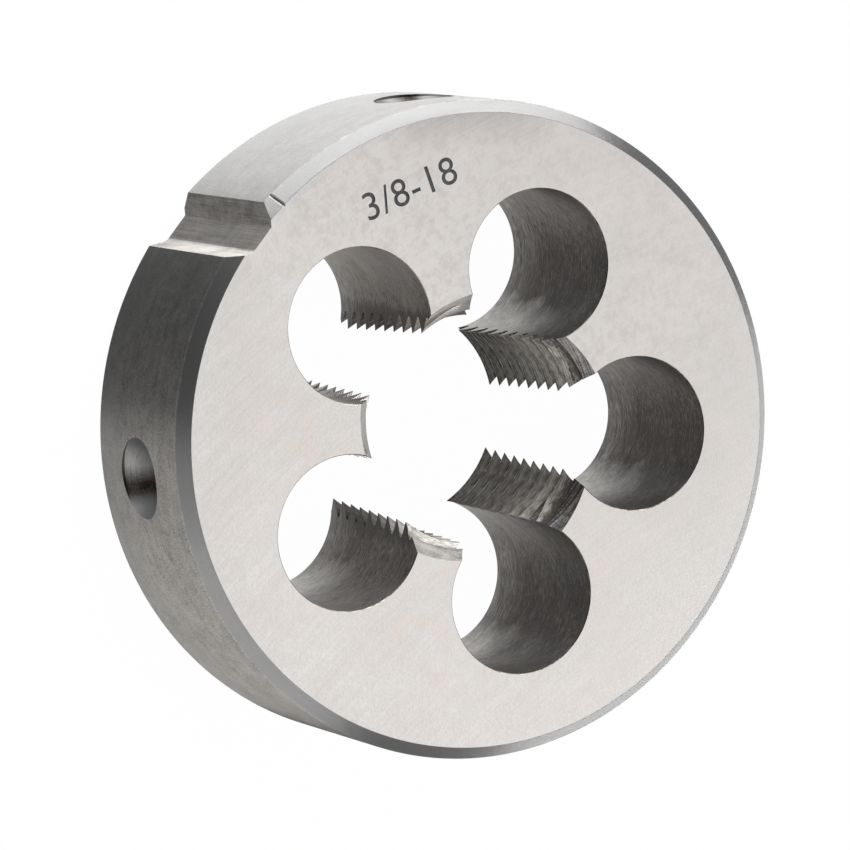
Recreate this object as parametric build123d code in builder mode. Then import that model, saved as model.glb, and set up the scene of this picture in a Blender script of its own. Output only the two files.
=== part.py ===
from build123d import *
import os
from math import asin, atan, ceil, cos, degrees, floor, radians, sin, sqrt, tan

# Round threading die, one piece of hardened steel. It lies on its back face, with the origin at
# the centre of that face, +Z towards the lead-in face and +Y through the notch in its rim.
# Lengths are in millimetres and angles in degrees.

# Disc
outer_diameter = 45.0
thickness = 14.0
rim_chamfer = 0.85

# Tapered pipe thread with 60 degree flanks, right-hand, widest at the lead-in face
turns_per_inch = 18
thread_taper = 1 / 16
crest_diameter_at_back = 14.76
flank_angle = 60.0
crest_flat = 0.12
root_flat = 0.20
crest_height_at_notch = 1.57

# Clearance holes, which leave the cutting lands between them and let the chips out. Each one
# breaks into the thread, and one of them lies under the notch.
clearance_holes = 5
hole_diameter = 10.6
hole_reach = 0.80
hole_edge_break = 0.08

# Lead-in cone, backed off behind each cutting edge, and the small cone at the back of the thread
lead_in_step = 1.43
lead_in_half_angle = 38.0
lead_in_offset = 1.3
back_lead_step = 0.52
back_lead_half_angle = 45.0

# Notch in the rim, with one rounded floor corner
notch_direction = 90.0
notch_depth = 1.27
notch_floor_width = 2.3
notch_wall_angle = 45.0
notch_corner_radius = 0.9

# Dimples in the rim for the holder's screws, one each side of the notch
dimple_diameter = 5.6
dimple_spread = 46.5
dimple_wall = 0.2
dimple_point_angle = 90.0

# Index line down the chamfer of the lead-in face, beside the notch
index_gap = 0.7
index_width = 0.24
index_depth = 0.12

# Room that a cutting shape has past the surface it cuts
margin = 1.0
groove_overlap = 0.05

outer_radius = outer_diameter / 2
pitch = 25.4 / turns_per_inch
land_spacing = 360 / clearance_holes
flank_slope = tan(radians(flank_angle / 2))
thread_depth = (pitch - crest_flat - root_flat) / 2 / flank_slope
hole_circle_radius = crest_diameter_at_back / 2 - hole_reach + hole_diameter / 2
notch_floor_radius = outer_radius - notch_depth


def crest_radius(height):
    """Radius of the thread's crests at a height above the back face."""
    return crest_diameter_at_back / 2 + height * thread_taper / 2


def disc():
    """Turned disc with its chamfers, its tapered bore and the small cone at the back of it."""
    back_slope = tan(radians(back_lead_half_angle))
    back_length = back_lead_step / (back_slope + thread_taper / 2)
    with BuildPart() as turned:
        with BuildSketch(Plane.XZ):
            with BuildLine():
                Polyline(
                    (crest_radius(0) + back_lead_step, 0),
                    (outer_radius - rim_chamfer, 0),
                    (outer_radius, rim_chamfer),
                    (outer_radius, thickness - rim_chamfer),
                    (outer_radius - rim_chamfer, thickness),
                    (crest_radius(thickness), thickness),
                    (crest_radius(back_length), back_length),
                    close=True,
                )
            make_face()
        revolve(axis=Axis.Z)
    return turned.part


def clearance_drill():
    """Shape of one clearance hole, a little wider at both faces, where its edges are broken."""
    hole_radius = hole_diameter / 2
    wide = hole_radius + hole_edge_break
    with BuildPart() as drill:
        with BuildSketch(Plane.XZ):
            with BuildLine():
                Polyline(
                    (0, -margin),
                    (wide, -margin),
                    (wide, 0),
                    (hole_radius, hole_edge_break),
                    (hole_radius, thickness - hole_edge_break),
                    (wide, thickness),
                    (wide, thickness + margin),
                    (0, thickness + margin),
                    close=True,
                )
            make_face()
        revolve(axis=Axis.Z)
    return drill.part


def groove_turn(turn):
    """One turn of the thread's groove, which starts on +X and climbs counter-clockwise."""
    start = crest_height_at_notch + (turn - 0.5) * pitch
    start_radius = crest_radius(start)
    half_mouth = (pitch - crest_flat) / 2 + groove_overlap * flank_slope
    with BuildPart() as groove:
        with BuildLine() as path:
            Helix(
                pitch=pitch,
                height=pitch,
                radius=start_radius,
                center=(0, 0, start),
                cone_angle=degrees(atan(thread_taper / 2)),
            )
        with BuildSketch(Plane.XZ):
            with BuildLine():
                Polyline(
                    (start_radius - groove_overlap, start - half_mouth),
                    (start_radius + thread_depth, start - root_flat / 2),
                    (start_radius + thread_depth, start + root_flat / 2),
                    (start_radius - groove_overlap, start + half_mouth),
                    close=True,
                )
            make_face()
        sweep(path=path.wires()[0], is_frenet=True)
    return groove.part


def lead_in_cutter():
    """Cone of the lead-in, off the axis by the back-off, kept to the sector of a land on +X."""
    slope = tan(radians(lead_in_half_angle))
    mouth_radius = crest_radius(thickness) + lead_in_step
    tip_length = mouth_radius / slope
    half_sector = outer_radius * tan(radians(land_spacing / 2))
    with BuildPart() as cutter:
        with Locations((0, -lead_in_offset, thickness - tip_length)):
            Cone(
                bottom_radius=0,
                top_radius=mouth_radius + margin * slope,
                height=tip_length + margin,
                align=(Align.CENTER, Align.CENTER, Align.MIN),
            )
        with BuildSketch():
            Polygon((0, 0), (outer_radius, -half_sector), (outer_radius, half_sector), align=None)
        extrude(amount=thickness + 2 * margin, mode=Mode.INTERSECT)
    return cutter.part


def notch_cutter():
    """Flat-floored notch along the whole rim on +Y, with one floor corner rounded."""
    mouth_radius = outer_radius + margin
    half_floor = notch_floor_width / 2
    half_mouth = half_floor + (notch_depth + margin) * tan(radians(notch_wall_angle))
    with BuildPart() as notch:
        with BuildSketch(Plane.XY.offset(-margin)) as section:
            Polygon(
                (-half_floor, notch_floor_radius),
                (half_floor, notch_floor_radius),
                (half_mouth, mouth_radius),
                (-half_mouth, mouth_radius),
                align=None,
            )
            floor_corner = section.vertices().group_by(Axis.Y)[0].sort_by(Axis.X)[0]
            fillet(floor_corner, radius=notch_corner_radius)
        extrude(amount=thickness + 2 * margin)
    return notch.part


def dimple_cutter():
    """Drill shape of one dimple on +X: a short straight wall, then a drill point."""
    radius = dimple_diameter / 2
    point_length = radius / tan(radians(dimple_point_angle / 2))
    wall_end = outer_radius - dimple_wall
    with BuildPart() as dimple:
        with BuildSketch(Plane.XY):
            with BuildLine():
                Polyline(
                    (wall_end - point_length, 0),
                    (wall_end, radius),
                    (outer_radius + margin, radius),
                    (outer_radius + margin, 0),
                    close=True,
                )
            make_face()
        revolve(axis=Axis.X)
    return dimple.part


def index_cutter():
    """Small V down the slope of the lead-in face's chamfer, on +X."""
    chamfer_middle = (outer_radius - rim_chamfer / 2, 0, thickness - rim_chamfer / 2)
    half_mouth = index_width / 2 * (1 + margin / index_depth)
    with BuildPart() as line:
        with BuildSketch(Plane(origin=chamfer_middle, x_dir=(0, 1, 0), z_dir=(1, 0, -1))):
            Polygon((0, -index_depth), (half_mouth, margin), (-half_mouth, margin), align=None)
        extrude(amount=rim_chamfer * sqrt(2), both=True)
    return line.part


# The notch's edge on the rim is where its wall meets the disc's outer circle
wall_angle = radians(notch_wall_angle)
wall_offset = notch_floor_width / 2 * cos(wall_angle) - notch_floor_radius * sin(wall_angle)
notch_half_angle = degrees(wall_angle + asin(wall_offset / outer_radius))
index_direction = notch_direction - notch_half_angle - degrees(index_gap / outer_radius)

first_turn = floor(-crest_height_at_notch / pitch)
last_turn = ceil((thickness - crest_height_at_notch) / pitch) + 1

with BuildPart() as die_body:
    add(disc())
    with PolarLocations(hole_circle_radius, clearance_holes, start_angle=notch_direction):
        add(clearance_drill(), mode=Mode.SUBTRACT)
    grooves = [groove_turn(turn) for turn in range(first_turn, last_turn)]
    add(grooves, rotation=(0, 0, notch_direction), mode=Mode.SUBTRACT)
    with PolarLocations(0, clearance_holes, start_angle=notch_direction + land_spacing / 2):
        add(lead_in_cutter(), mode=Mode.SUBTRACT)
    add(notch_cutter(), rotation=(0, 0, notch_direction - 90), mode=Mode.SUBTRACT)
    with Locations((0, 0, thickness / 2)):
        for side in (-1, 1):
            dimple_direction = notch_direction + side * dimple_spread
            add(dimple_cutter(), rotation=(0, 0, dimple_direction), mode=Mode.SUBTRACT)
    add(index_cutter(), rotation=(0, 0, index_direction), mode=Mode.SUBTRACT)

die_body.part.label = "die_body"
os.makedirs("parts", exist_ok=True)
export_step(die_body.part, "parts/die_body.step")
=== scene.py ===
from math import cos, pi, radians, sin, tan
from types import SimpleNamespace

import bpy
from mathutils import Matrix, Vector


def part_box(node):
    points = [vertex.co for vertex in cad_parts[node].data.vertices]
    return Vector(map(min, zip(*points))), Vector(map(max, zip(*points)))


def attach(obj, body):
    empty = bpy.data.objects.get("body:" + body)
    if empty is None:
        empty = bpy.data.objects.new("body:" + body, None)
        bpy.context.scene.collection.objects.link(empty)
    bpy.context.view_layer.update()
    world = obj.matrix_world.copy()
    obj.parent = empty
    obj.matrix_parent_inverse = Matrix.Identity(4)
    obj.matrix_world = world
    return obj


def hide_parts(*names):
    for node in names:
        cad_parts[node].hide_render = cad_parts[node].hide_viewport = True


bl_info = {
    "name": "Round Threading Die",
    "version": (1, 0, 0),
    "blender": (4, 5, 0),
    "location": "View3D > Sidebar > Threading Die",
    "description": "Dresses a round threading die in machined steel and sets up its studio",
    "category": "Object",
}

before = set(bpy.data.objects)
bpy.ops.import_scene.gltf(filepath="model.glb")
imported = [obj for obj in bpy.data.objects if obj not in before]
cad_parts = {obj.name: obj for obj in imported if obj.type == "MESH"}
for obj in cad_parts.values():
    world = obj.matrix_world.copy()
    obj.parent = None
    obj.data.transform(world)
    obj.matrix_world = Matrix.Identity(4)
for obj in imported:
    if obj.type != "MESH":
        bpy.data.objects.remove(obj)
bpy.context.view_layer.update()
DIE_LOW, DIE_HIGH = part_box("die_body")

# Room that a cutting shape has past the surface it cuts
MARGIN = 0.001
GROOVE_OVERLAP = 0.00005

# Forms that are no sizes of their own
FLANK_SLOPE = tan(radians(30))
WALL_ANGLE = radians(45)
FAR_FLANK = 1.6
LETTER_SPACING = 1.06
LETTER_RISE = 3.0

# Turns of the groove below the first whole crest, and in all past those that the thickness takes
TURNS_BELOW = 2.5
EXTRA_TURNS = 3.0

# Sector of a lead-in cone, which ends in the holes beside its land, and the radius where it stops
LEAD_IN_SECTOR = radians(64)
LEAD_IN_TIP = 0.0005

# Facets of what isn't turned with the disc
HOLE_SEGMENTS = 192
DIMPLE_SEGMENTS = 96
LEAD_IN_SEGMENTS = 97
CORNER_STEPS = 12
EDGE_STEPS = 3

# Distances within which points are one
MERGE_DISTANCE = 0.000001
LETTER_MERGE_DISTANCE = 0.0000001

# What counts as a flat face, as the far flank of the index line and as a sharp edge
FLAT_NORMAL = 0.999
FACE_TOLERANCE = 0.000005
FAR_NORMAL = -0.1
SHARP_ANGLE = radians(24)


def length(name, description, default):
    """A size in metres."""
    return bpy.props.FloatProperty(name=name, description=description, default=default,
                                   unit="LENGTH", precision=5)


def angle(name, description, default):
    """An angle, given in degrees and kept in radians."""
    return bpy.props.FloatProperty(name=name, description=description, default=radians(default),
                                   unit="ROTATION")


def number(name, description, default):
    """A plain number."""
    return bpy.props.FloatProperty(name=name, description=description, default=default)


def whole_number(name, description, default):
    """A whole number."""
    return bpy.props.IntProperty(name=name, description=description, default=default)


def colour(name, place, default):
    """The linear colour of a place on the die."""
    return bpy.props.FloatVectorProperty(name=name, description="Colour of " + place, default=default,
                                         subtype="COLOR", size=3, min=0, max=1)


class DieSizes(bpy.types.PropertyGroup):
    """Sizes of the die, the same as those of its solid."""

    outer_diameter: length("Outer Diameter", "Width of the disc", DIE_HIGH[0] - DIE_LOW[0])
    thickness: length("Thickness", "Height of the disc", DIE_HIGH[2] - DIE_LOW[2])
    rim_chamfer: length("Rim Chamfer", "Chamfer of both faces at the rim", 0.00085)
    edge_round: length("Edge Round", "Worn rounding of the turned edges", 0.00009)
    notch_direction: angle("Notch Direction", "Side of the disc that has the notch", 90)
    crest_diameter: length("Crest Diameter", "Width between the thread's crests at the back", 0.01476)
    thread_taper: number("Thread Taper", "Growth of the diameter towards the lead-in face", 1 / 16)
    pitch: length("Pitch", "Distance from one crest to the next", 0.0254 / 18)
    crest_flat: length("Crest Flat", "Width of the flat on each crest", 0.00012)
    root_flat: length("Root Flat", "Width of the flat in each root", 0.0002)
    crest_height: length("Crest Height", "Height of the first whole crest at the notch", 0.00157)
    hole_count: whole_number("Clearance Holes", "How many holes make the lands", 5)
    hole_diameter: length("Hole Diameter", "Width of a clearance hole", 0.0106)
    hole_reach: length("Hole Reach", "How far a hole reaches inside the crests", 0.0008)
    hole_edge: length("Hole Edge", "Broken edge of a clearance hole at both faces", 0.00005)
    lead_in_step: length("Lead-in Step", "How much wider than the crests the lead-in starts", 0.00143)
    lead_in_angle: angle("Lead-in Angle", "Half angle of the lead-in cone", 38)
    lead_in_offset: length("Lead-in Offset", "Back-off of the lead-in behind a cutting edge", 0.0013)
    back_lead_step: length("Back Lead Step", "How much wider than the crests the back cone is", 0.00052)
    notch_depth: length("Notch Depth", "Depth of the notch in the rim", 0.00127)
    notch_floor: length("Notch Floor", "Width of the notch's flat floor", 0.0023)
    notch_corner: length("Notch Corner", "Radius of the notch's round floor corner", 0.0009)
    dimple_diameter: length("Dimple Diameter", "Width of a screw dimple", 0.0056)
    dimple_spread: angle("Dimple Spread", "Angle from the notch to a dimple", 46.5)
    dimple_wall: length("Dimple Wall", "Depth of a dimple's straight wall", 0.0002)
    dimple_point: angle("Dimple Point", "Point angle of a dimple", 90)
    index_gap: length("Index Gap", "Distance from the notch's edge to the index line", 0.0007)
    index_width: length("Index Width", "Width of the index line", 0.00024)
    index_depth: length("Index Depth", "Depth of the index line", 0.00012)
    marking_height: length("Marking Height", "Height of the size marking's type", 0.0027)
    marking_depth: length("Marking Depth", "Depth of the size marking", 0.00003)
    marking_radius: length("Marking Radius", "Distance of the size marking from the axis", 0.0174)
    marking_direction: angle("Marking Direction", "Side of the face that has the size marking", 57.5)
    marking_turn: angle("Marking Turn", "How the size marking is turned", -30)
    segments: whole_number("Segments", "Facets of a full turn", 288)


class Tree:
    """Adds nodes to a node tree. What is passed to a node is linked or set on its inputs."""

    def __init__(self, tree):
        self.tree = tree

    def feed(self, socket, value):
        if isinstance(value, bpy.types.NodeSocket):
            self.tree.links.new(value, socket)
        elif isinstance(value, list):
            for one in value:
                self.tree.links.new(one, socket)
        elif value is not None:
            socket.default_value = value

    def node(self, kind, inputs=(), **settings):
        """New node. Its inputs are named in a dictionary or given in their order."""
        made = self.tree.nodes.new(kind)
        for name, value in settings.items():
            setattr(made, name, value)
        for key, value in inputs.items() if isinstance(inputs, dict) else enumerate(inputs):
            self.feed(made.inputs[key], value)
        return made

    def step(self, kind, inputs=(), **settings):
        """First output of a new node."""
        return self.node(kind, inputs, **settings).outputs[0]

    def math(self, operation, *values):
        return self.step("ShaderNodeMath", values, operation=operation)

    def add(self, *values):
        total = values[0]
        for value in values[1:]:
            total = self.math("ADD", total, value)
        return total

    def sub(self, first, second):
        return self.math("SUBTRACT", first, second)

    def mul(self, first, second):
        return self.math("MULTIPLY", first, second)

    def div(self, first, second):
        return self.math("DIVIDE", first, second)

    def absolute(self, value):
        return self.math("ABSOLUTE", value)

    def distance(self, x, y):
        return self.math("SQRT", self.add(self.mul(x, x), self.mul(y, y)))

    def split(self, vector):
        return self.node("ShaderNodeSeparateXYZ", {"Vector": vector}).outputs

    def vector(self, x=0.0, y=0.0, z=0.0):
        return self.step("ShaderNodeCombineXYZ", (x, y, z))


class ShapeTree(Tree):
    """Node tree of a modifier, with steps for turned, swept and repeated shapes."""

    def __init__(self, name):
        tree = bpy.data.node_groups.new(name, "GeometryNodeTree")
        tree.is_modifier = True
        tree.interface.new_socket(name="Mesh", in_out="INPUT", socket_type="NodeSocketGeometry")
        super().__init__(tree)
        self.group_input = tree.nodes.new("NodeGroupInput")

    def input(self, name, kind):
        self.tree.interface.new_socket(name=name, in_out="INPUT", socket_type=kind)
        return self.group_input.outputs[name]

    def minus(self, value):
        return self.mul(value, -1.0)

    def half(self, value):
        return self.mul(value, 0.5)

    def index(self):
        return self.step("GeometryNodeInputIndex")

    def place(self):
        return self.split(self.step("GeometryNodeInputPosition"))

    def normal(self):
        return self.split(self.node("GeometryNodeInputNormal").outputs["True Normal"])

    def join(self, shapes):
        return self.step("GeometryNodeJoinGeometry", {"Geometry": shapes})

    def merged(self, shape, distance):
        return self.step("GeometryNodeMergeByDistance", {"Geometry": shape, "Distance": distance})

    def realized(self, shape):
        return self.step("GeometryNodeRealizeInstances", {"Geometry": shape})

    def outline(self, points, cyclic=True):
        """Straight-sided curve through points given as pairs of sizes."""
        pick = self.node("GeometryNodeIndexSwitch", data_type="VECTOR")
        while len(pick.index_switch_items) < len(points):
            pick.index_switch_items.new()
        self.feed(pick.inputs["Index"], self.index())
        for order, (x, y) in enumerate(points):
            self.feed(pick.inputs[str(order)], self.vector(x, y))
        dots = self.step("GeometryNodePoints", {"Count": len(points), "Position": pick.outputs[0]})
        curve = self.step("GeometryNodePointsToCurves", {"Points": dots})
        return self.step("GeometryNodeSetSplineCyclic", {"Geometry": curve, "Cyclic": cyclic})

    def rounded(self, curve, radius, steps):
        return self.step("GeometryNodeFilletCurve",
                         {"Curve": curve, "Radius": radius, "Count": steps, "Limit Radius": True},
                         mode="POLY")

    def sweep(self, path, section):
        """Section along a path. On a path round the axis its X points outwards and its Y down."""
        upright = self.step("GeometryNodeSetCurveNormal", {"Curve": path}, mode="Z_UP")
        return self.step("GeometryNodeCurveToMesh",
                         {"Curve": upright, "Profile Curve": section, "Fill Caps": True})

    def turned(self, profile, segments, rail, cyclic=True, edge_round=None):
        """Solid of revolution from (radius, height) pairs. An open one starts and ends on the axis."""
        section = self.outline([(self.sub(radius, rail), self.minus(height))
                                for radius, height in profile], cyclic)
        if edge_round is not None:
            section = self.rounded(section, edge_round, EDGE_STEPS)
        circle = self.node("GeometryNodeCurvePrimitiveCircle", {"Resolution": segments, "Radius": rail})
        return self.merged(self.sweep(circle.outputs["Curve"], section), MERGE_DISTANCE)

    def line(self, start, end):
        return self.step("GeometryNodeCurvePrimitiveLine", {"Start": start, "End": end})

    def flipped(self, shape):
        return self.step("GeometryNodeFlipFaces", {"Mesh": shape})

    def rotation(self, turn):
        return self.step("FunctionNodeEulerToRotation", {"Euler": turn})

    def placed(self, shape, move, turn=None):
        turned = None if turn is None else self.rotation(turn)
        return self.step("GeometryNodeTransform",
                         {"Geometry": shape, "Translation": move, "Rotation": turned})

    def turned_to(self, shape, turn):
        return self.placed(shape, None, self.vector(z=turn))

    def around(self, shape, count, start):
        """Copies of a shape around the axis, the first one turned to the start angle."""
        turn = self.add(start, self.mul(self.index(), self.div(2 * pi, count)))
        dots = self.step("GeometryNodePoints", {"Count": count})
        copies = self.step("GeometryNodeInstanceOnPoints", {
            "Points": dots,
            "Instance": shape,
            "Rotation": self.rotation(self.vector(z=turn)),
        })
        return self.realized(copies)

    def finished(self, shape, material, where=None):
        return self.step("GeometryNodeSetMaterial",
                         {"Geometry": shape, "Material": material, "Selection": where})

    def cut(self, body, cutters):
        return self.step("GeometryNodeMeshBoolean", {"Mesh 1": body, "Mesh 2": cutters},
                         operation="DIFFERENCE", solver="MANIFOLD")

    def close(self, shape):
        self.tree.interface.new_socket(name="Mesh", in_out="OUTPUT", socket_type="NodeSocketGeometry")
        self.node("NodeGroupOutput", {"Mesh": shape})
        return self.tree


def die_tree():
    """Tree that turns, drills, threads and marks the die, with a finish for each kind of surface."""
    shape = ShapeTree("Threading Die")
    size = SimpleNamespace(**{key: shape.input(title, kind) for key, title, kind in size_inputs()})
    steel = SimpleNamespace(**{key: shape.input(title, "NodeSocketMaterial")
                               for key, (title, _) in FINISHES.items()})
    marking = shape.input("Size Marking", "NodeSocketString")
    outer = shape.half(size.outer_diameter)
    crest_at_back = shape.half(size.crest_diameter)
    taper = shape.half(size.thread_taper)

    def crest(height):
        return shape.add(crest_at_back, shape.mul(height, taper))

    above = shape.add(size.thickness, MARGIN)
    body = disc_shape(shape, size, outer, crest, steel)
    cutters = [
        clearance_holes(shape, size, above, steel.bore),
        thread_groove(shape, size, crest, steel.thread),
        lead_in_cones(shape, size, crest, above, steel.lead_in),
        notch_shape(shape, size, outer, above, steel.notch),
        dimple_shapes(shape, size, outer, steel.dimple),
        index_line(shape, size, outer, steel),
        size_marking(shape, size, marking, steel.marking),
    ]
    die = shape.realized(shape.cut(body, cutters))
    return shape.close(shape.finished(die, steel.face, flat_faces(shape, size.thickness)))


def size_inputs():
    """Key, title and socket kind of every size of the die."""
    kinds = {"INT": "NodeSocketInt", "FLOAT": "NodeSocketFloat"}
    for prop in DieSizes.bl_rna.properties:
        if prop.identifier in DieSizes.__annotations__:
            yield prop.identifier, prop.name, kinds[prop.type]


def disc_shape(shape, size, outer, crest, steel):
    """Disc with its chamfers and its tapered bore, which has the small cone at its back."""
    top = size.thickness
    chamfer = size.rim_chamfer
    back_length = shape.div(size.back_lead_step, shape.add(shape.half(size.thread_taper), 1.0))
    profile = [
        (shape.add(crest(0.0), size.back_lead_step), 0.0),
        (crest(back_length), back_length),
        (crest(top), top),
        (shape.sub(outer, chamfer), top),
        (outer, shape.sub(top, chamfer)),
        (outer, chamfer),
        (shape.sub(outer, chamfer), 0.0),
    ]
    body = shape.turned(profile, size.segments, outer, edge_round=size.edge_round)
    normal = shape.normal()
    place = shape.place()
    outward = shape.add(shape.mul(normal[0], place[0]), shape.mul(normal[1], place[1]))
    body = shape.finished(body, steel.rim)
    return shape.finished(body, steel.thread, shape.math("LESS_THAN", outward, 0.0))


def flat_faces(shape, top):
    """Picks the faces that lie flat on either side of the disc."""
    half = shape.half(top)
    level = shape.absolute(shape.normal()[2])
    from_middle = shape.absolute(shape.sub(shape.place()[2], half))
    outside = shape.math("GREATER_THAN", from_middle, shape.sub(half, FACE_TOLERANCE))
    return shape.mul(shape.math("GREATER_THAN", level, FLAT_NORMAL), outside)


def clearance_holes(shape, size, above, steel):
    """Drills of the clearance holes, a little wider at both faces, where the edges are broken."""
    radius = shape.half(size.hole_diameter)
    edge = size.hole_edge
    wide = shape.add(radius, edge)
    top = size.thickness
    profile = [
        (0.0, -MARGIN),
        (wide, -MARGIN),
        (wide, 0.0),
        (radius, edge),
        (radius, shape.sub(top, edge)),
        (wide, top),
        (wide, above),
        (0.0, above),
    ]
    drill = shape.flipped(shape.turned(profile, HOLE_SEGMENTS, radius, cyclic=False))
    circle = shape.add(shape.sub(shape.half(size.crest_diameter), size.hole_reach), radius)
    drill = shape.finished(shape.placed(drill, shape.vector(x=circle)), steel)
    return shape.around(drill, size.hole_count, size.notch_direction)


def thread_groove(shape, size, crest, steel):
    """Groove of the thread, which climbs counter-clockwise from below the disc to above it."""
    pitch = size.pitch
    mouth = shape.sub(pitch, size.crest_flat)
    depth = shape.mul(shape.sub(mouth, size.root_flat), 0.5 / FLANK_SLOPE)
    half_mouth = shape.add(shape.half(mouth), GROOVE_OVERLAP * FLANK_SLOPE)
    half_root = shape.half(size.root_flat)
    section = shape.outline([
        (-GROOVE_OVERLAP, shape.minus(half_mouth)),
        (depth, shape.minus(half_root)),
        (depth, half_root),
        (-GROOVE_OVERLAP, half_mouth),
    ])
    turns = shape.add(shape.math("CEIL", shape.div(size.thickness, pitch)), EXTRA_TURNS)
    start = shape.add(size.crest_height, shape.mul(pitch, -TURNS_BELOW))
    rise = shape.mul(turns, pitch)
    spiral = shape.step("GeometryNodeCurveSpiral", {
        "Resolution": size.segments,
        "Rotations": turns,
        "Start Radius": crest(start),
        "End Radius": crest(shape.add(start, rise)),
        "Height": rise,
        "Reverse": True,
    })
    groove = shape.placed(shape.sweep(spiral, section), shape.vector(z=start),
                          shape.vector(z=size.notch_direction))
    return shape.finished(groove, steel)


def lead_in_cones(shape, size, crest, above, steel):
    """Sector of a cone for each land, off the axis by the back-off behind a cutting edge."""
    slope = shape.math("TANGENT", size.lead_in_angle)
    mouth = shape.add(crest(size.thickness), size.lead_in_step)
    inward = shape.sub(LEAD_IN_TIP, mouth)
    low = shape.add(size.thickness, shape.div(inward, slope))
    section = shape.outline([
        (inward, shape.minus(low)),
        (shape.mul(slope, MARGIN), shape.minus(above)),
        (inward, shape.minus(above)),
    ])
    arc = shape.node("GeometryNodeCurveArc", {
        "Resolution": LEAD_IN_SEGMENTS,
        "Radius": mouth,
        "Start Angle": -LEAD_IN_SECTOR / 2,
        "Sweep Angle": LEAD_IN_SECTOR,
    })
    cone = shape.flipped(shape.sweep(arc.outputs["Curve"], section))
    cone = shape.placed(cone, shape.vector(y=shape.minus(size.lead_in_offset)))
    half_step = shape.div(pi, size.hole_count)
    start = shape.add(size.notch_direction, half_step)
    return shape.around(shape.finished(cone, steel), size.hole_count, start)


def notch_shape(shape, size, outer, above, steel):
    """Notch along the whole rim, with a flat floor, sloping walls and one round floor corner."""
    floor = shape.sub(outer, size.notch_depth)
    half_floor = shape.half(size.notch_floor)
    half_mouth = shape.add(half_floor, size.notch_depth, MARGIN)
    mouth = shape.add(outer, MARGIN)
    section = shape.outline([
        (floor, half_floor),
        (mouth, half_mouth),
        (mouth, shape.minus(half_mouth)),
        (floor, shape.minus(half_floor)),
    ])
    first_corner = shape.math("LESS_THAN", shape.index(), 0.5)
    section = shape.rounded(section, shape.mul(first_corner, size.notch_corner), CORNER_STEPS)
    path = shape.line((0.0, 0.0, -MARGIN), shape.vector(z=above))
    notch = shape.flipped(shape.sweep(path, section))
    return shape.finished(shape.turned_to(notch, size.notch_direction), steel)


def dimple_shapes(shape, size, outer, steel):
    """Drills of the two dimples: a short straight wall, then a drill point."""
    radius = shape.half(size.dimple_diameter)
    wall_end = shape.sub(outer, size.dimple_wall)
    point = shape.div(radius, shape.math("TANGENT", shape.half(size.dimple_point)))
    beyond = shape.add(outer, MARGIN)
    profile = [
        (0.0, shape.sub(wall_end, point)),
        (radius, wall_end),
        (radius, beyond),
        (0.0, beyond),
    ]
    drill = shape.flipped(shape.turned(profile, DIMPLE_SEGMENTS, radius, cyclic=False))
    lying = shape.placed(shape.finished(drill, steel), shape.vector(z=shape.half(size.thickness)),
                         (0.0, pi / 2, 0.0))
    sides = []
    for side in (-1.0, 1.0):
        turn = shape.add(size.notch_direction, shape.mul(size.dimple_spread, side))
        sides.append(shape.turned_to(lying, turn))
    return shape.join(sides)


def index_line(shape, size, outer, steel):
    """Small V down the chamfer beside the notch. Its far flank is shallower and lighter: it takes the
    notch's lighter finish, a painted highlight.
    """
    half_mouth = shape.mul(size.index_width, shape.add(0.5, shape.div(0.5 * MARGIN, size.index_depth)))
    section = shape.outline([
        (0.0, size.index_depth),
        (half_mouth, -MARGIN),
        (shape.mul(half_mouth, -FAR_FLANK), -MARGIN),
    ])
    chamfer = size.rim_chamfer
    reach = shape.half(chamfer)
    top = size.thickness
    path = shape.line(
        shape.vector(shape.sub(outer, shape.add(chamfer, reach)), 0.0, shape.add(top, reach)),
        shape.vector(shape.add(outer, reach), 0.0, shape.sub(top, shape.add(chamfer, reach))),
    )
    notch_floor = shape.sub(outer, size.notch_depth)
    wall_offset = shape.mul(shape.sub(shape.half(size.notch_floor), notch_floor), cos(WALL_ANGLE))
    half_notch = shape.add(shape.math("ARCSINE", shape.div(wall_offset, outer)), WALL_ANGLE)
    turn = shape.sub(size.notch_direction, shape.add(half_notch, shape.div(size.index_gap, outer)))
    groove = shape.finished(shape.flipped(shape.sweep(path, section)), steel.rim)
    # Painted highlight: the far flank takes the notch's lighter finish.
    far_flank = shape.math("LESS_THAN", shape.normal()[1], FAR_NORMAL)
    groove = shape.finished(groove, steel.notch, far_flank)
    return shape.turned_to(groove, turn)


def size_marking(shape, size, text, steel):
    """Shallow engraved figures on the lead-in face."""
    letters = shape.step("GeometryNodeStringToCurves", {
        "String": text,
        "Size": size.marking_height,
        "Character Spacing": LETTER_SPACING,
    }, align_x="CENTER", align_y="MIDDLE")
    flat = shape.step("GeometryNodeFillCurve", {"Curve": shape.realized(letters)}, mode="NGONS")
    flat = shape.finished(flat, steel)
    grown = shape.step("GeometryNodeExtrudeMesh", {
        "Mesh": flat,
        "Offset Scale": shape.mul(size.marking_depth, LETTER_RISE),
        "Individual": False,
    }, mode="FACES")
    closed = shape.merged(shape.join([shape.flipped(flat), grown]), LETTER_MERGE_DISTANCE)
    x = shape.mul(size.marking_radius, shape.math("COSINE", size.marking_direction))
    y = shape.mul(size.marking_radius, shape.math("SINE", size.marking_direction))
    place = shape.vector(x, y, shape.sub(size.thickness, size.marking_depth))
    return shape.placed(closed, place, shape.vector(z=size.marking_turn))


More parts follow.
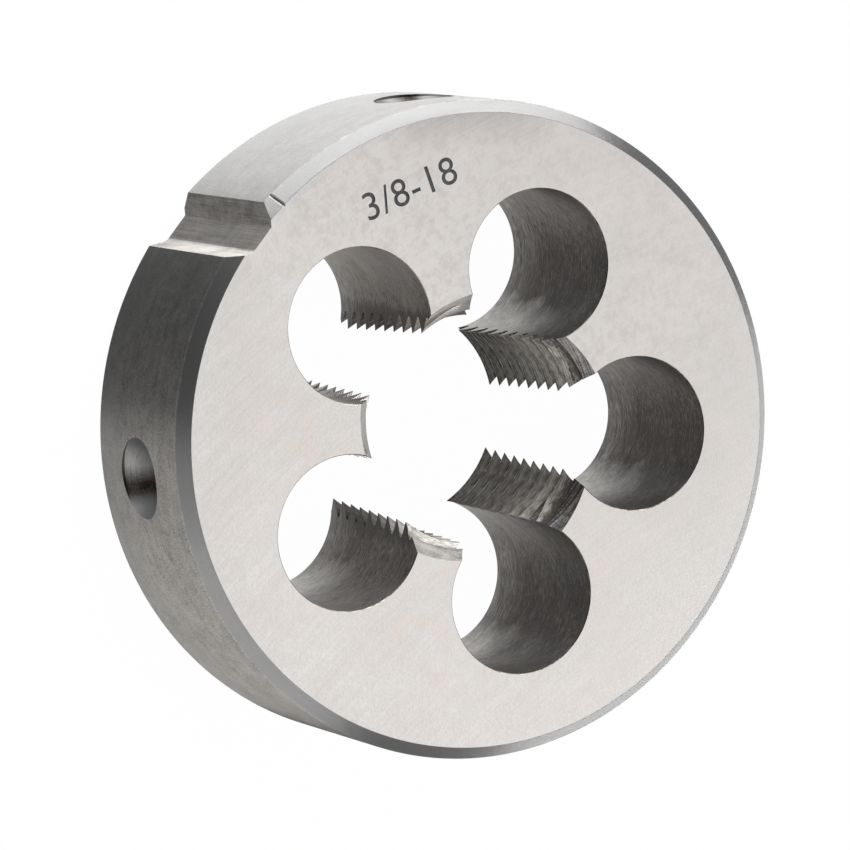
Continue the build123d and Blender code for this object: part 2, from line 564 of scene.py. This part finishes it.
class FinishTree(Tree):
    """Node tree of a material, of the world or of a shader node group."""

    def group(self, name, inputs):
        return self.node("ShaderNodeGroup", inputs, node_tree=bpy.data.node_groups[name]).outputs

    def around_axis(self, place):
        """Turn, height over the back face and distance from the axis."""
        return self.group("Around Axis", (place,))

    def tool_lines(self, along, across, length, width):
        """Lines and their ridges."""
        return self.group("Tool Lines", (along, across, length, width))

    def hairs(self, along, across, length, width):
        """Short fine scratches."""
        return self.spread(self.tool_lines(along, across, length, width)["Height"], 0.38, 0.62)

    def stains(self, place, size, seed):
        return self.group("Stains", (place, size, seed))[0]

    def grain(self, place, size):
        return self.group("Grain", (place, size))[0]

    def scaled(self, vector, size):
        return self.step("ShaderNodeVectorMath", {0: vector, "Scale": self.div(1.0, size)},
                         operation="SCALE")

    def noise(self, vector, detail, roughness):
        made = self.node("ShaderNodeTexNoise",
                         {"Vector": vector, "Scale": 1.0, "Detail": detail, "Roughness": roughness})
        return made.outputs["Fac"]

    def spread(self, value, low, high, to_low=0.0, to_high=1.0):
        """The value, taken from one range to another and held within it."""
        return self.step("ShaderNodeMapRange", (value, low, high, to_low, to_high))

    def blend(self, mask, at_none, at_full):
        return self.spread(mask, 0.0, 1.0, at_none, at_full)

    def total(self, *shares):
        """Sum of pairs of a mask and its share."""
        return self.add(*[self.mul(mask, share) for mask, share in shares])

    def toward(self, turn, side):
        """1 where the turn is at the given side, -1 opposite it."""
        return self.math("COSINE", self.sub(turn, side))

    def mix(self, factor, first, second):
        """Blend of two colours. Each one is a socket or three numbers."""
        first, second = (one if isinstance(one, bpy.types.NodeSocket) else (*one, 1.0)
                         for one in (first, second))
        return self.node("ShaderNodeMix", {0: factor, 6: first, 7: second}, data_type="RGBA").outputs[2]

    def steel(self, base, roughness, height, depth, metallic=1.0, shine=None):
        """Principled shader on the colour, roughness and relief that a finish made."""
        bump = self.step("ShaderNodeBump", {"Height": height, "Strength": 1.0, "Distance": depth})
        shader = self.step("ShaderNodeBsdfPrincipled", {
            "Base Color": base,
            "Roughness": roughness,
            "Metallic": metallic,
            "Normal": bump,
            **(shine or {}),
        })
        self.node("ShaderNodeOutputMaterial", {"Surface": shader})


def empty_tree(owner):
    """Node tree of a new material or world, without the nodes that it came with."""
    owner.use_nodes = True
    owner.node_tree.nodes.clear()
    return FinishTree(owner.node_tree)


def new_group(name, inputs, outputs):
    """Empty shader node group; returns its tree, its input node's and its output node's sockets."""
    tree = bpy.data.node_groups.new(name, "ShaderNodeTree")
    for in_out, sockets in (("INPUT", inputs), ("OUTPUT", outputs)):
        for socket in sockets:
            kind = "NodeSocketVector" if socket == "Vector" else "NodeSocketFloat"
            tree.interface.new_socket(name=socket, in_out=in_out, socket_type=kind)
    work = FinishTree(tree)
    return work, work.node("NodeGroupInput").outputs, work.node("NodeGroupOutput").inputs


def tool_lines_group():
    """Lines that a tool leaves: long along its path and fine across it."""
    work, given, put = new_group("Tool Lines", ["Along", "Across", "Length", "Width"], ["Lines", "Height"])
    along = work.div(given["Along"], given["Length"])
    across = work.div(given["Across"], given["Width"])
    fine = work.noise(work.vector(along, across, 0.0), detail=3.0, roughness=0.65)
    broad = work.noise(work.vector(work.mul(along, 0.5), work.mul(across, 0.16), 7.0),
                       detail=2.0, roughness=0.55)
    work.feed(put["Lines"], work.spread(work.total((fine, 0.65), (broad, 0.35)), 0.32, 0.68))
    work.feed(put["Height"], fine)


def around_axis_group():
    """Place of a point around the disc's axis: its turn, its height, and its distance from the axis."""
    work, given, put = new_group("Around Axis", ["Vector"], ["Turn", "Height", "Radius"])
    x, y, z = work.split(given["Vector"])
    work.feed(put["Turn"], work.math("ARCTAN2", y, x))
    work.feed(put["Height"], z)
    work.feed(put["Radius"], work.distance(x, y))


def hole_place_group(sizes):
    """Place of a point around the nearest clearance hole's own axis, and the turn of that hole."""
    work, given, put = new_group("Hole Place", ["Vector"], ["Turn", "Height", "Hole Turn"])
    x, y, z = work.split(given["Vector"])
    step = 2 * pi / sizes.hole_count
    turn = work.sub(work.math("ARCTAN2", y, x), sizes.notch_direction - step / 2)
    hole = work.math("FLOOR", work.div(turn, step))
    folded = work.sub(work.sub(turn, work.mul(hole, step)), step / 2)
    radius = work.distance(x, y)
    circle = (sizes.crest_diameter + sizes.hole_diameter) / 2 - sizes.hole_reach
    local_x = work.sub(work.mul(radius, work.math("COSINE", folded)), circle)
    local_y = work.mul(radius, work.math("SINE", folded))
    work.feed(put["Turn"], work.math("ARCTAN2", local_y, local_x))
    work.feed(put["Height"], z)
    work.feed(put["Hole Turn"], work.add(work.mul(hole, step), sizes.notch_direction))


def stains_group():
    """Cloudy patches, as left by oil, hands and storage."""
    work, given, put = new_group("Stains", ["Vector", "Size", "Seed"], ["Mask"])
    scaled = work.scaled(given["Vector"], given["Size"])
    seed = work.vector(given["Seed"], given["Seed"], given["Seed"])
    moved = work.step("ShaderNodeVectorMath", (scaled, seed), operation="ADD")
    work.feed(put["Mask"], work.spread(work.noise(moved, detail=4.0, roughness=0.6), 0.36, 0.66))


def grain_group():
    """Fine speckle of worn steel."""
    work, given, put = new_group("Grain", ["Vector", "Size"], ["Mask"])
    scaled = work.scaled(given["Vector"], given["Size"])
    work.feed(put["Mask"], work.spread(work.noise(scaled, detail=1.0, roughness=0.5), 0.40, 0.60))


class DieLooks(bpy.types.PropertyGroup):
    """Colours of the die's finishes."""

    ground: colour("Ground Steel", "the ground faces", (0.92, 0.895, 0.87))
    ground_shade: colour("Ground Dull", "painted shade on one side of the faces", (0.69, 0.672, 0.654))
    ground_tint: colour("Ground Tint", "the faces' faint tarnish", (0.86, 0.79, 0.755))
    ground_tarnish: colour("Ground Tarnish", "the reddish patches near the holes", (0.87, 0.745, 0.67))
    ground_stain: colour("Ground Stain", "the faint patches on the faces", (0.64, 0.595, 0.565))
    ground_edge: colour("Ground Edge", "the faces' darker part at the rim on one side", (0.35, 0.34, 0.33))
    ground_lines: colour("Ground Lines", "the grinding lines", (0.5, 0.48, 0.46))
    turned: colour("Turned Steel", "the turned rim", (0.44, 0.436, 0.431))
    turned_dark: colour("Turned Dark", "the rim's dark streaks", (0.205, 0.202, 0.198))
    turned_cool: colour("Turned Cool", "the chamfer, the rim near the back and the dimples' painted light side", (0.315, 0.314, 0.313))
    turned_warm: colour("Turned Warm", "the rim where it has been handled", (0.57, 0.528, 0.468))
    turned_shaded: colour("Turned Shaded", "painted shade on one side of the chamfer", (0.1, 0.1, 0.1))
    worn_edge: colour("Worn Edge", "the worn places on the rim's edge", (0.62, 0.61, 0.60))
    drilled: colour("Drilled Steel", "the clearance holes", (0.158, 0.141, 0.124))
    drilled_dark: colour("Drilled Dark", "the holes' dark patches and painted shadow, and the dimples' painted shade", (0.022, 0.0168, 0.013))
    drilled_reflection: colour("Drilled Bright", "painted reflection of the floor low in the holes and along their back edge", (0.50, 0.485, 0.465))
    thread: colour("Thread Steel", "the thread's flanks", (0.57, 0.547, 0.515))
    thread_dark: colour("Thread Dark", "painted shade in the thread's roots and its darker marks", (0.075, 0.066, 0.056))
    lead_in: colour("Lead-in Steel", "the lead-in cones", (0.50, 0.485, 0.465))
    lead_in_dark: colour("Lead-in Dark", "the dark lead-in cones", (0.03, 0.0285, 0.027))
    notch: colour("Notch Steel", "the milled notch", (0.56, 0.54, 0.515))
    notch_dark: colour("Notch Dark", "the notch's dark streaks", (0.14, 0.132, 0.125))
    dimple: colour("Dimple Steel", "the drilled dimples", (0.24, 0.238, 0.235))
    marking: colour("Marking", "the etched size marking", (0.055, 0.057, 0.062))
    marking_worn: colour("Marking Worn", "the marking's worn places", (0.16, 0.16, 0.16))
    size_marking: bpy.props.StringProperty(name="Size Marking", description="Plain figures on the face",
                                           default="3/8-18")


# Directions around the axis in which a finish is lighter, darker or warmer than elsewhere
GRINDING_DIRECTION = radians(-20)
HANDLED_SIDE = radians(160)
CALM_SIDE = radians(55)
SCUFFED_SIDE = radians(25)
DARK_CHAMFER_SIDE = radians(120)
DARK_EDGE_SIDE = radians(42)
REFLECTION_SIDE = radians(223)
REFLECTION_LEAN = radians(8)
REFLECTION_HOLE = radians(18)
DARK_BORE_SIDE = radians(282)
LIGHT_HOLES = radians(115)
LIGHT_LANDS = radians(150)
DARK_LAND = radians(54)
TARNISHED_SIDE = radians(150)
LIGHT_CONES = radians(100)

# Distances from the axis over which a ground face changes
# Across x, a ground face goes from its light side to painted shade
LIGHT_TO_SHADE = (-0.02, 0.02)
TARNISH_REACH = (0.014, 0.021)
DARK_EDGE_REACH = (0.0192, 0.0217)

# Heights over the back face
RIM_NEAR_BACK = (0.0, 0.006)
BORE_NEAR_BACK = (0.0, 0.0045)
REFLECTION_HEIGHT = 0.0085
REFLECTION_RISE = 0.0022
DARK_LAND_HEIGHT = (0.003, 0.009)
THREAD_NEAR_FRONT = (0.0112, 0.0124)

# Distances from an edge or from the middle of a band, and depths under the thread's crests
CHAMFER_START = (0.00003, 0.0001)
EDGE_WEAR = (0.00004, 0.00014)
TEETH_SHADOW_REACH = (0.0010, 0.0020)
ROOT_SHADE_DEPTH = (0.0003, 0.0010)
CREST_DEPTH = (0.00002, 0.00006)
DIMPLE_SHADE_BAND = (0.0002, 0.0014)

# How strongly the grinding lines are bent, per metre, and how steeply the drill's lines climb
GRINDING_BEND = 6.0
DRILL_CLIMB = 0.06

# Shine that lies across the tool's lines
TOOL_SHINE = {"Anisotropic": 1.0, "Anisotropic Rotation": 0.25}


def ground_face(work, place, looks, sizes):
    """Arc-shaped grinding lines, stains, scuffs on one side, tarnish near the holes, painted shade towards
    one side and a darker band at the rim on one side.
    """
    x, y = work.split(place)[:2]
    turn, _, radius = work.around_axis(place)
    along = work.total((x, cos(GRINDING_DIRECTION)), (y, sin(GRINDING_DIRECTION)))
    across = work.total((y, cos(GRINDING_DIRECTION)), (x, -sin(GRINDING_DIRECTION)))
    across = work.add(across, work.mul(work.mul(along, along), GRINDING_BEND))
    lines, ridges = work.tool_lines(along, across, length=0.005, width=0.00018)
    stains = work.stains(place, size=0.004, seed=3.0)
    mottle = work.stains(place, size=0.0009, seed=9.0)
    grain = work.grain(place, size=0.00016)
    scuffed = work.spread(work.toward(turn, SCUFFED_SIDE), 0.2, 0.7)
    scuffs = work.total((work.stains(place, size=0.0005, seed=13.0), 0.5), (mottle, 0.5))
    scuffs = work.mul(scuffed, work.spread(scuffs, 0.35, 0.75, 0.0, 0.7))
    patch = work.total((stains, 0.30), (mottle, 0.30), (grain, 0.45))
    patch = work.mul(patch, work.sub(0.45, work.mul(scuffed, 0.3)))
    # Painted shade: the face darkens from one side to the other, as light falls off across it.
    base = work.mix(work.spread(x, *LIGHT_TO_SHADE), looks.ground, looks.ground_shade)
    base = work.mix(work.add(patch, scuffs), base, looks.ground_stain)
    base = work.mix(work.mul(stains, 0.35), base, looks.ground_tint)
    near_holes = work.mul(work.spread(work.toward(turn, TARNISHED_SIDE), -0.9, 0.8),
                          work.spread(radius, *TARNISH_REACH, 1.0, 0.0))
    tarnish = work.spread(work.stains(place, size=0.0024, seed=11.0), 0.55, 1.0, 0.0, 0.5)
    base = work.mix(work.mul(near_holes, tarnish), base, looks.ground_tarnish)
    # Darker near the rim on one side of the face.
    near_edge = work.mul(work.spread(radius, *DARK_EDGE_REACH),
                         work.spread(work.toward(turn, DARK_EDGE_SIDE), 0.95, 0.995))
    base = work.mix(work.mul(near_edge, work.blend(lines, 0.7, 0.25)), base, looks.ground_edge)
    base = work.mix(work.blend(lines, 0.24, 0.0), base, looks.ground_lines)
    work.steel(base, work.blend(lines, 0.38, 0.30), work.add(ridges, grain), depth=0.000004)


def turned_rim(work, place, looks, sizes):
    """Turning lines round the rim, streaks, a warm handled side, a cooler, flatter chamfer and painted
    shade on one side of the chamfer.
    """
    turn, height, radius = work.around_axis(place)
    edge = sizes.outer_diameter / 2
    lines, ridges = work.tool_lines(work.mul(turn, edge), height, length=0.006, width=0.00012)
    clouds = work.stains(place, size=0.003, seed=1.0)
    blotches = work.stains(place, size=0.0009, seed=2.0)
    grain = work.grain(place, size=0.00013)
    dark = work.add(work.blend(lines, 0.3, 0.0),
                    work.total((clouds, 0.2), (blotches, 0.32), (grain, 0.38)))
    calm = work.spread(work.toward(turn, CALM_SIDE), 0.6, 0.9, 0.0, 0.6)
    dark = work.add(dark, work.mul(calm, work.sub(0.66, dark)))
    chamfer = work.spread(work.sub(edge, radius), *CHAMFER_START)
    near_back = work.spread(height, *RIM_NEAR_BACK, 0.7, 0.0)
    handled = work.mul(work.spread(work.toward(turn, HANDLED_SIDE), 0.6, 0.95),
                       work.spread(blotches, 0.0, 0.7, 0.35, 1.0))
    base = work.mix(handled, looks.turned, looks.turned_warm)
    base = work.mix(dark, base, looks.turned_dark)
    cool = work.mul(work.math("MAXIMUM", chamfer, near_back), work.blend(grain, 0.95, 0.8))
    base = work.mix(cool, base, looks.turned_cool)
    # Painted shade on one side of the chamfer.
    shaded = work.mul(chamfer, work.spread(work.toward(turn, DARK_CHAMFER_SIDE), 0.87, 0.99))
    base = work.mix(work.mul(shaded, 0.5), base, looks.turned_shaded)
    from_edge = work.absolute(work.sub(height, sizes.thickness - sizes.rim_chamfer))
    wear = work.mul(work.spread(from_edge, *EDGE_WEAR, 1.0, 0.0), work.spread(blotches, 0.5, 0.9))
    base = work.mix(work.mul(wear, 0.3), base, looks.worn_edge)
    relief = work.add(work.mul(ridges, 0.5), grain)
    work.steel(base, work.blend(lines, 0.48, 0.43), relief, depth=0.0000025, shine=TOOL_SHINE)


def drilled_bore(work, place, looks, sizes):
    """Drill lines, dark patches and a darker side in every hole, with painted shadow by the thread's
    teeth, painted reflection of the floor low on one side of each hole and painted light along the back
    edge.
    """
    turn, height, hole_turn = work.group("Hole Place", (place,))
    way = work.mul(turn, sizes.hole_diameter / 2)
    climb = work.add(height, work.mul(way, DRILL_CLIMB))
    lines, ridges = work.tool_lines(way, climb, length=0.0018, width=0.00008)
    hairs = work.hairs(way, climb, length=0.0006, width=0.00010)
    clouds = work.stains(place, size=0.0024, seed=5.0)
    side = work.add(turn, hole_turn)
    # Painted reflection of the white floor: lighter low on one side of each hole.
    lean = work.toward(hole_turn, REFLECTION_HOLE)
    facing = work.toward(side, work.add(work.mul(lean, REFLECTION_LEAN), REFLECTION_SIDE))
    facing = work.sub(facing, work.total((clouds, 0.12), (lean, 0.08)))
    reach = work.add(work.mul(lean, REFLECTION_RISE), REFLECTION_HEIGHT)
    low = work.spread(work.div(height, reach), 0.5, 1.0, 1.0, 0.12)
    full = work.sub(0.92, work.mul(lean, 0.08))
    floor_reflection = work.mul(work.spread(facing, 0.56, full), low)
    # Painted light along the back edge, in the drill lines.
    back_edge_light = work.mul(work.spread(height, *BORE_NEAR_BACK, 1.0, 0.0), lines)
    # Darker on the same side of every hole.
    darker_side = work.spread(work.toward(side, DARK_BORE_SIDE), 0.3, 0.97)
    near_notch = work.spread(work.toward(hole_turn, LIGHT_HOLES), 0.4, 0.9)
    # Painted shadow: the walls darken near the thread's teeth, most in the holes near the notch.
    from_thread = work.sub(work.around_axis(place)["Radius"], sizes.crest_diameter / 2)
    corner = work.mul(work.spread(from_thread, *TEETH_SHADOW_REACH, 0.9, 0.0), near_notch)
    dark = work.add(work.total((clouds, 0.3), (darker_side, 0.6)), work.blend(hairs, -0.12, 0.65), corner,
                    work.blend(lines, 0.3, 0.0))
    dark = work.sub(dark, work.add(work.mul(near_notch, 0.4), 0.12))
    base = work.mix(dark, looks.drilled, looks.drilled_dark)
    # Painted reflection and painted light, broken by the scratches.
    bright = work.mul(work.total((floor_reflection, 0.95), (back_edge_light, 0.5)), work.blend(hairs, 1.0, 0.5))
    base = work.mix(bright, base, looks.drilled_reflection)
    relief = work.add(ridges, work.mul(hairs, 0.5))
    work.steel(base, work.blend(lines, 0.50, 0.34), relief, depth=0.000012)


def cut_thread(work, place, looks, sizes):
    """Clean flanks with painted shade in the roots, darker crest flats and a darker part low on one land.
    """
    turn, height, radius = work.around_axis(place)
    way = work.mul(turn, sizes.crest_diameter / 2)
    crest = work.add(work.mul(height, sizes.thread_taper / 2), sizes.crest_diameter / 2)
    depth = work.sub(radius, crest)
    lines, ridges = work.tool_lines(way, depth, length=0.0025, width=0.00009)
    hairs = work.hairs(way, depth, length=0.0005, width=0.00009)
    stains = work.stains(place, size=0.0016, seed=2.0)
    # Painted shade: the flanks darken towards the roots.
    root = work.spread(depth, *ROOT_SHADE_DEPTH, -0.1, 0.55)
    crest_flat = work.spread(depth, *CREST_DEPTH, 0.45, 0.0)
    near_front = work.spread(height, *THREAD_NEAR_FRONT, 0.0, 0.15)
    # Darker low on one land.
    darker_side = work.mul(work.spread(work.toward(turn, DARK_LAND), 0.8, 0.95),
                    work.spread(height, *DARK_LAND_HEIGHT, 0.0, 0.85))
    dark = work.add(root, crest_flat, work.total((stains, 0.2), (hairs, 0.5)),
                    work.blend(lines, 0.4, -0.1), darker_side, near_front)
    dark = work.sub(dark, work.mul(work.toward(turn, LIGHT_LANDS), 0.15))
    base = work.mix(dark, looks.thread, looks.thread_dark)
    work.steel(base, work.blend(lines, 0.52, 0.38), ridges, depth=0.00001)


def lead_in_cone(work, place, looks, sizes):
    """Lines round the cones, which are darker away from the light."""
    turn, _, radius = work.around_axis(place)
    way = work.mul(turn, sizes.crest_diameter / 2)
    lines, ridges = work.tool_lines(way, radius, length=0.004, width=0.00009)
    stains = work.stains(place, size=0.0012, seed=6.0)
    grain = work.grain(place, size=0.00012)
    shaded = work.spread(work.toward(turn, LIGHT_CONES), -0.75, 0.3, 0.62, 0.0)
    dark = work.add(work.total((stains, 0.15), (grain, 0.1)), work.blend(lines, 0.5, 0.0), shaded)
    base = work.mix(dark, looks.lead_in, looks.lead_in_dark)
    work.steel(base, work.blend(lines, 0.56, 0.44), ridges, depth=0.00001)


def milled_notch(work, place, looks, sizes):
    """Milling lines along the notch, with painted shade on the far wall."""
    x, y, z = work.split(place)
    lines, ridges = work.tool_lines(z, work.add(x, y), length=0.005, width=0.00009)
    stains = work.stains(place, size=0.0016, seed=8.0)
    grain = work.grain(place, size=0.00013)
    # Painted shade: the far wall is a little darker.
    far_wall_shade = work.spread(x, sizes.notch_floor * 0.45, sizes.notch_floor * 0.55, 0.0, 0.3)
    dark = work.add(work.total((stains, 0.25), (grain, 0.15)), far_wall_shade, work.blend(lines, 0.55, 0.0))
    base = work.mix(dark, looks.notch, looks.notch_dark)
    work.steel(base, work.blend(lines, 0.48, 0.38), ridges, depth=0.000004, shine=TOOL_SHINE)


def drilled_dimple(work, place, looks, sizes):
    """Drill lines, a painted shade band down the dimple and a painted lighter side away from the notch."""
    turn, height, radius = work.around_axis(place)
    lines, ridges = work.tool_lines(height, radius, length=0.01, width=0.0001)
    stains = work.stains(place, size=0.0014, seed=4.0)
    grain = work.grain(place, size=0.00012)
    from_notch = work.absolute(work.sub(turn, sizes.notch_direction))
    from_middle = work.mul(work.sub(from_notch, sizes.dimple_spread), sizes.outer_diameter / 2)
    from_band = work.absolute(work.sub(from_middle, sizes.dimple_diameter * 0.15))
    # Painted shade: a dark band down the dimple.
    band = work.spread(from_band, *DIMPLE_SHADE_BAND, 0.70, 0.0)
    # Painted light: the side away from the notch is lighter.
    light = work.spread(from_middle, sizes.dimple_diameter * 0.24, sizes.dimple_diameter * 0.40)
    dark = work.add(work.total((stains, 0.15), (grain, 0.12)), work.blend(lines, 0.2, 0.0), band)
    base = work.mix(dark, looks.dimple, looks.drilled_dark)
    base = work.mix(light, base, looks.turned_cool)
    work.steel(base, work.blend(lines, 0.60, 0.50), ridges, depth=0.000006)


def dark_marking(work, place, looks, sizes):
    """Dark figures, worn in places."""
    stains = work.stains(place, size=0.0006, seed=7.0)
    base = work.mix(work.mul(stains, 0.5), looks.marking, looks.marking_worn)
    work.steel(base, 0.6, stains, depth=0.000004, metallic=0.6)


# Title and maker of each finish
FINISHES = {
    "face": ("Ground Face", ground_face),
    "rim": ("Turned Rim", turned_rim),
    "bore": ("Drilled Bore", drilled_bore),
    "thread": ("Cut Thread", cut_thread),
    "lead_in": ("Lead-in Cone", lead_in_cone),
    "notch": ("Milled Notch", milled_notch),
    "dimple": ("Drilled Dimple", drilled_dimple),
    "marking": ("Dark Marking", dark_marking),
}


def new_object(context, name, data):
    """Object in the scene."""
    made = bpy.data.objects.new(name, data)
    context.scene.collection.objects.link(made)
    return made


class BuildDie(bpy.types.Operator):
    """Turn, drill, thread and mark the die, and give each surface its finish"""

    bl_idname = "threading_die.build_die"
    bl_label = "Build Die"

    def execute(self, context):
        sizes = context.scene.die_sizes
        looks = context.scene.die_looks
        around_axis_group()
        hole_place_group(sizes)
        tool_lines_group()
        stains_group()
        grain_group()
        tree = die_tree()
        values = {title: getattr(sizes, key) for key, title, kind in size_inputs()}
        for title, make in FINISHES.values():
            values[title] = bpy.data.materials.new(title)
            work = empty_tree(values[title])
            make(work, work.node("ShaderNodeTexCoord").outputs["Object"], looks, sizes)
        values["Size Marking"] = looks.size_marking
        die = new_object(context, "steel_die", bpy.data.meshes.new("steel_die"))
        modifier = die.modifiers.new("Threading Die", "NODES")
        modifier.node_group = tree
        for item in tree.interface.items_tree:
            if item.name in values:
                modifier[item.identifier] = values[item.name]
        shaped = bpy.data.meshes.new_from_object(die.evaluated_get(context.evaluated_depsgraph_get()))
        die.modifiers.clear()
        die.data = shaped
        shaped.shade_smooth()
        shaped.set_sharp_from_angle(angle=SHARP_ANGLE)
        if not shaped.polygons:
            raise RuntimeError("The die has no faces")
        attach(die, "root")
        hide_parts("die_body")
        return {"FINISHED"}


class StudioSettings(bpy.types.PropertyGroup):
    """Camera and light of the studio."""

    camera_place: bpy.props.FloatVectorProperty(
        name="Camera Place", description="Where the camera stands", size=3, subtype="TRANSLATION",
        default=(-0.08369735, 0.16543317, 0.36884958))
    camera_turn: bpy.props.FloatVectorProperty(
        name="Camera Turn", description="How the camera is turned", size=3, subtype="EULER",
        default=(radians(-5.642299), radians(-26.476459), radians(-50.770919)))
    camera_lens: bpy.props.FloatProperty(name="Camera Lens", description="Focal length in millimetres",
                                         default=250.142)
    white: number("White", "How white the floor and the backdrop show", 1.0)
    floor_seen: number("Floor Seen", "Share of plain white in the floor that the camera sees", 0.985)
    floor_in_metal: number("Floor In Metal", "How white the floor shows in metal", 0.18)
    floor_in_holes: number("Floor In Holes", "How white the floor under the die shows in its holes", 1.0)
    world_in_metal: number("World In Metal", "How white the backdrop shows in metal", 0.30)
    world_light: number("World Light", "Strength of the light from all round", 0.2)


# Name, azimuth, elevation, width and height in degrees as the die sees them, and brightness
LAMPS = [
    ("Overhead Softbox", -63, 63, 50, 50, 0.60),
    ("Right Softbox", 31, 12, 84, 23, 13.6),
    ("Side Softbox", 147, 12.5, 30, 24, 3.2),
    ("Left Softbox", 190, 12.5, 56, 24, 4.3),
    ("Front Softbox", 282, 12.5, 62, 24, 7.5),
]
LAMP_DISTANCE = 2.0

# The floor lies a hair under the die, and shows brighter in metal under the holes
FLOOR_HALF_WIDTH = 5.0
FLOOR_DROP = 0.00002
UNDER_HOLES = (0.018, 0.021)


def direction(azimuth, elevation):
    a = radians(azimuth)
    e = radians(elevation)
    return Vector((cos(a) * cos(e), sin(a) * cos(e), sin(e)))


class BuildStudio(bpy.types.Operator):
    """Set up the pale floor, the soft lamps, the world and the camera"""

    bl_idname = "threading_die.build_studio"
    bl_label = "Build Studio"

    def execute(self, context):
        settings = context.scene.studio_settings
        self.floor(context, settings)
        self.world(context, settings)
        for name, azimuth, elevation, width, height, brightness in LAMPS:
            self.lamp(context, name, direction(azimuth, elevation), width, height, brightness)
        data = bpy.data.cameras.new("Camera")
        data.lens = settings.camera_lens
        data.clip_start = 0.01
        data.clip_end = 10
        camera = new_object(context, "Camera", data)
        camera.location = settings.camera_place
        camera.rotation_euler = settings.camera_turn
        context.scene.camera = camera
        context.scene.view_settings.view_transform = "Standard"
        return {"FINISHED"}

    def white_share(self, work, to_camera, to_metal, otherwise):
        """How white a surface shows to the camera and through glass, in metal, and as a light."""
        path = work.node("ShaderNodeLightPath").outputs
        direct = work.math("MAXIMUM", path["Is Camera Ray"], path["Is Transmission Ray"])
        share = work.add(work.mul(path["Is Glossy Ray"], work.sub(to_metal, otherwise)), otherwise)
        return work.add(work.mul(share, work.sub(1.0, direct)), work.mul(direct, to_camera))

    def floor(self, context, settings):
        mesh = bpy.data.meshes.new("Floor")
        corners = [(x * FLOOR_HALF_WIDTH, y * FLOOR_HALF_WIDTH, -FLOOR_DROP)
                   for x, y in ((-1, -1), (1, -1), (1, 1), (-1, 1))]
        mesh.from_pydata(corners, [], [(0, 1, 2, 3)])
        floor = new_object(context, "Floor", mesh)
        material = bpy.data.materials.new("White Floor")
        material.cycles.emission_sampling = "NONE"
        work = empty_tree(material)
        diffuse = work.step("ShaderNodeBsdfDiffuse", {"Color": (0.9, 0.9, 0.9, 1.0)})
        x, y = work.split(work.node("ShaderNodeTexCoord").outputs["Object"])[:2]
        in_metal = work.spread(work.distance(x, y), *UNDER_HOLES, settings.floor_in_holes,
                               settings.floor_in_metal)
        strength = self.white_share(work, settings.white, in_metal, 0.0)
        glow = work.step("ShaderNodeEmission", {"Strength": strength})
        amount = self.white_share(work, settings.floor_seen, 1.0, 0.0)
        mix = work.step("ShaderNodeMixShader", (amount, diffuse, glow))
        work.node("ShaderNodeOutputMaterial", {"Surface": mix})
        mesh.materials.append(material)

    def world(self, context, settings):
        world = bpy.data.worlds.new("Studio")
        context.scene.world = world
        work = empty_tree(world)
        strength = self.white_share(work, settings.white, settings.world_in_metal, settings.world_light)
        light = work.step("ShaderNodeBackground", {"Color": (1.0, 1.0, 1.0, 1.0), "Strength": strength})
        work.node("ShaderNodeOutputWorld", {"Surface": light})

    def lamp(self, context, name, towards, width, height, brightness):
        """Soft lamp that faces the die and shows in a mirror with its brightness."""
        data = bpy.data.lights.new(name, "AREA")
        data.shape = "RECTANGLE"
        data.size = 2 * LAMP_DISTANCE * tan(radians(width / 2))
        data.size_y = 2 * LAMP_DISTANCE * tan(radians(height / 2))
        data.energy = brightness * pi * data.size * data.size_y
        lamp = new_object(context, name, data)
        lamp.location = towards * LAMP_DISTANCE
        lamp.rotation_euler = towards.to_track_quat("Z", "Y").to_euler()


class DiePanel(bpy.types.Panel):
    """Sizes, colours and steps of the threading die"""

    bl_idname = "VIEW3D_PT_threading_die"
    bl_label = "Threading Die"
    bl_space_type = "VIEW_3D"
    bl_region_type = "UI"
    bl_category = "Threading Die"

    def draw(self, context):
        layout = self.layout
        for group in (context.scene.die_sizes, context.scene.die_looks, context.scene.studio_settings):
            box = layout.box()
            for key in group.__annotations__:
                box.prop(group, key)
        layout.operator(BuildDie.bl_idname)
        layout.operator(BuildStudio.bl_idname)


CLASSES = (DieSizes, DieLooks, StudioSettings, BuildDie, BuildStudio, DiePanel)


def register():
    for one in CLASSES:
        bpy.utils.register_class(one)
    bpy.types.Scene.die_sizes = bpy.props.PointerProperty(type=DieSizes)
    bpy.types.Scene.die_looks = bpy.props.PointerProperty(type=DieLooks)
    bpy.types.Scene.studio_settings = bpy.props.PointerProperty(type=StudioSettings)


def unregister():
    del bpy.types.Scene.studio_settings
    del bpy.types.Scene.die_looks
    del bpy.types.Scene.die_sizes
    for one in reversed(CLASSES):
        bpy.utils.unregister_class(one)


def main():
    register()
    bpy.ops.threading_die.build_die()
    bpy.ops.threading_die.build_studio()


if __name__ == "__main__":
    main()
